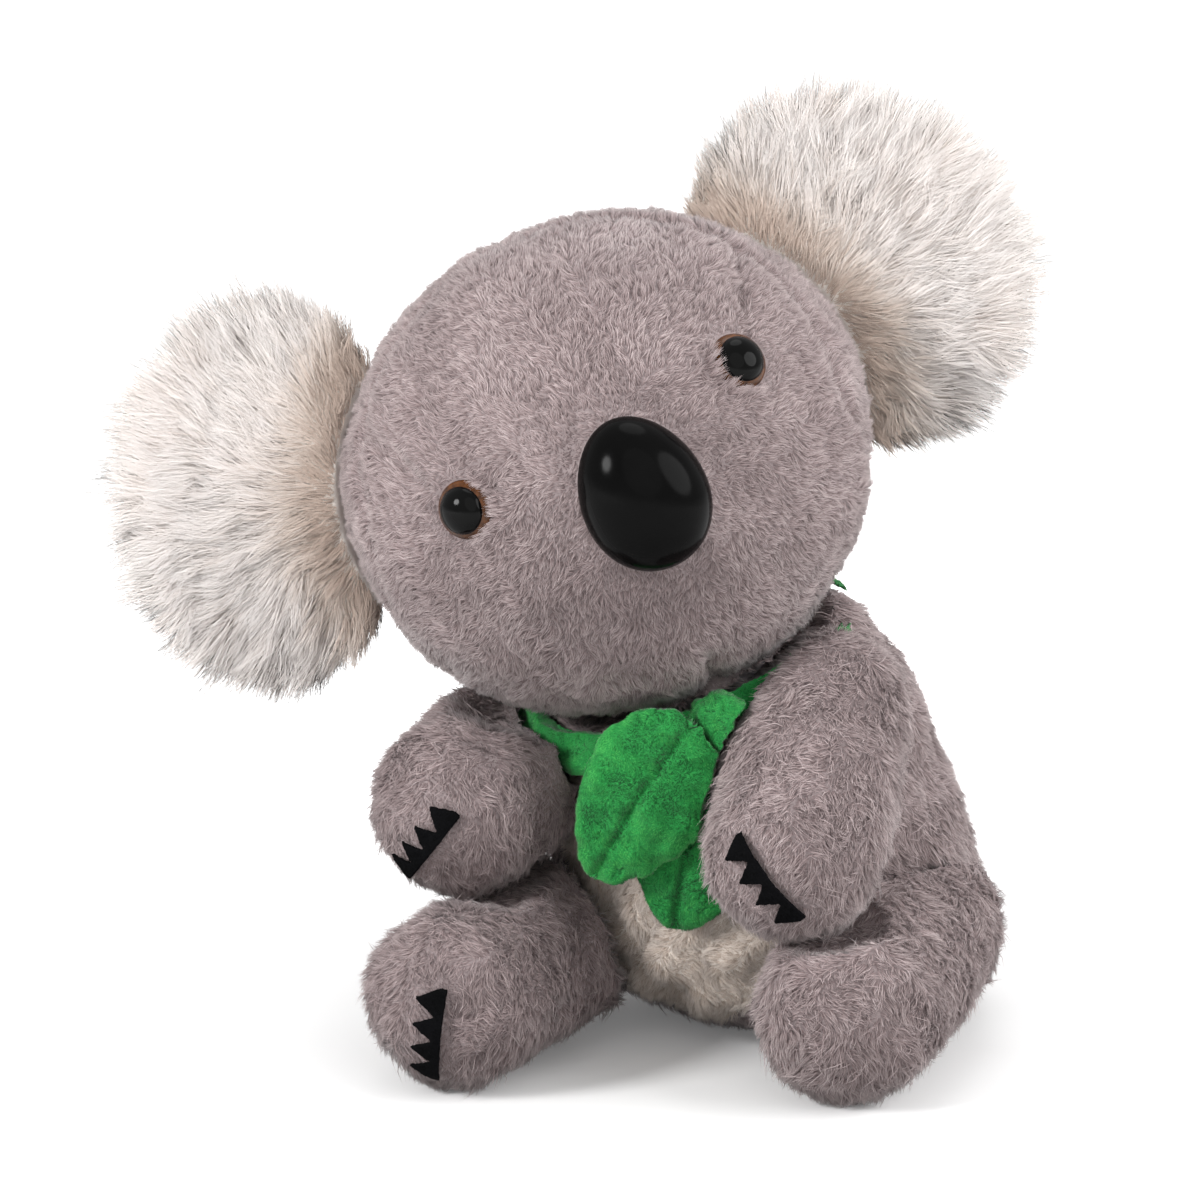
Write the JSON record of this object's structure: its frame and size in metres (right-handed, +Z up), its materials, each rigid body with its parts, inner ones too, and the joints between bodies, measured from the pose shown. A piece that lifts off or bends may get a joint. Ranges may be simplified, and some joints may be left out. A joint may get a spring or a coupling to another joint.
{
  "type": "plush koala",
  "caption": "Seated plush koala with fluffy white ears, safety eyes and nose, felt claws and a green leaf scarf; head, ears, arms and legs flex at their seams.",
  "frame": {"origin": "the middle of the flat under the seat, on the surface that the toy sits on", "axes": "+Z up, -Y the way the toy's body faces, +X the toy's own left. The head is turned to the toy's left and leans to its right, as pictured"},
  "size_m": [0.2519, 0.2033, 0.2777],
  "materials": {
    "grey_plush": "short-pile plush, matt",
    "belly_plush": "short-pile plush, off-white",
    "ear_plush": "long-pile plush, white",
    "green_plush": "crushed velour",
    "stuffing": "polyester fibre",
    "eye_plastic": "glossy, black pupil on a brown ring",
    "nose_plastic": "glossy black",
    "washer_plastic": "moulded",
    "black_felt": "felt, cut edges"
  },
  "bodies": {
    "body": {"torso_skin": "grey_plush", "belly_panel": "belly_plush", "torso_stuffing": "stuffing", "scarf_band": "green_plush", "scarf_knot": "green_plush", "leaf_rear": "green_plush"},
    "neck": {"neck_stuffing": "stuffing"},
    "head": {"head_face_panel": "grey_plush", "head_back_panel": "grey_plush", "head_stuffing": "stuffing", "eye_left": "eye_plastic", "eye_left_washer": "washer_plastic", "eye_right": "eye_plastic", "eye_right_washer": "washer_plastic", "nose": "nose_plastic", "nose_washer": "washer_plastic"},
    "ear_left": {"ear_left_front": "ear_plush", "ear_left_back": "ear_plush"},
    "ear_right": {"ear_right_front": "ear_plush", "ear_right_back": "ear_plush"},
    "arm_left": {"arm_left_skin": "grey_plush", "arm_left_stuffing": "stuffing", "arm_left_claws": "black_felt"},
    "arm_right": {"arm_right_skin": "grey_plush", "arm_right_stuffing": "stuffing", "arm_right_claws": "black_felt"},
    "leg_left": {"leg_left_skin": "grey_plush", "leg_left_stuffing": "stuffing", "leg_left_claws": "black_felt"},
    "leg_right": {"leg_right_skin": "grey_plush", "leg_right_stuffing": "stuffing", "leg_right_claws": "black_felt"},
    "leaf_front": {"leaf_front": "green_plush"}
  },
  "joints": [
    {"name": "head_turn", "type": "hinge", "parent": "body", "child": "neck", "pos_m": [-0.02093, -0.04011, 0.13122], "axis": [-0.4799, -0.0525, 0.8758], "range_deg": [-7, 7], "stiffness_Nm_per_rad": 2},
    {"name": "head_tilt", "type": "hinge", "parent": "neck", "child": "head", "pos_m": [-0.02093, -0.04011, 0.13122], "axis": [0.5018, -0.8352, 0.2249], "range_deg": [-4, 3], "stiffness_Nm_per_rad": 4},
    {"name": "ear_left_fold", "type": "hinge", "parent": "head", "child": "ear_left", "pos_m": [0.00717, -0.00838, 0.21745], "axis": [-0.6155, -0.1621, 0.7713], "range_deg": [-15, 15], "stiffness_Nm_per_rad": 0.8},
    {"name": "ear_right_fold", "type": "hinge", "parent": "head", "child": "ear_right", "pos_m": [-0.10319, -0.08855, 0.166], "axis": [0.1873, -0.149, -0.9709], "range_deg": [-15, 15], "stiffness_Nm_per_rad": 0.8},
    {"name": "arm_left_raise", "type": "hinge", "parent": "body", "child": "arm_left", "pos_m": [0.032, -0.044, 0.105], "axis": [-0.7612, -0.174, 0.6247], "range_deg": [0, 16], "stiffness_Nm_per_rad": 0.3},
    {"name": "arm_right_swing", "type": "hinge", "parent": "body", "child": "arm_right", "pos_m": [-0.061, -0.04396, 0.09], "axis": [-0.1483, 0, -0.9889], "range_deg": [0, 20], "stiffness_Nm_per_rad": 0.3},
    {"name": "leg_left_splay", "type": "hinge", "parent": "body", "child": "leg_left", "pos_m": [0.045, -0.014, 0.034], "axis": [0, 0, 1], "range_deg": [-8, 12], "stiffness_Nm_per_rad": 0.3},
    {"name": "leg_right_splay", "type": "hinge", "parent": "body", "child": "leg_right", "pos_m": [-0.046, -0.036, 0.031], "axis": [0, 0, -1], "range_deg": [-8, 12], "stiffness_Nm_per_rad": 0.3},
    {"name": "leaf_front_lift", "type": "hinge", "parent": "body", "child": "leaf_front", "pos_m": [0.009, -0.081, 0.1085], "axis": [-0.7823, -0.345, 0.5187], "range_deg": [0, 20], "stiffness_Nm_per_rad": 0.05}
  ]
}
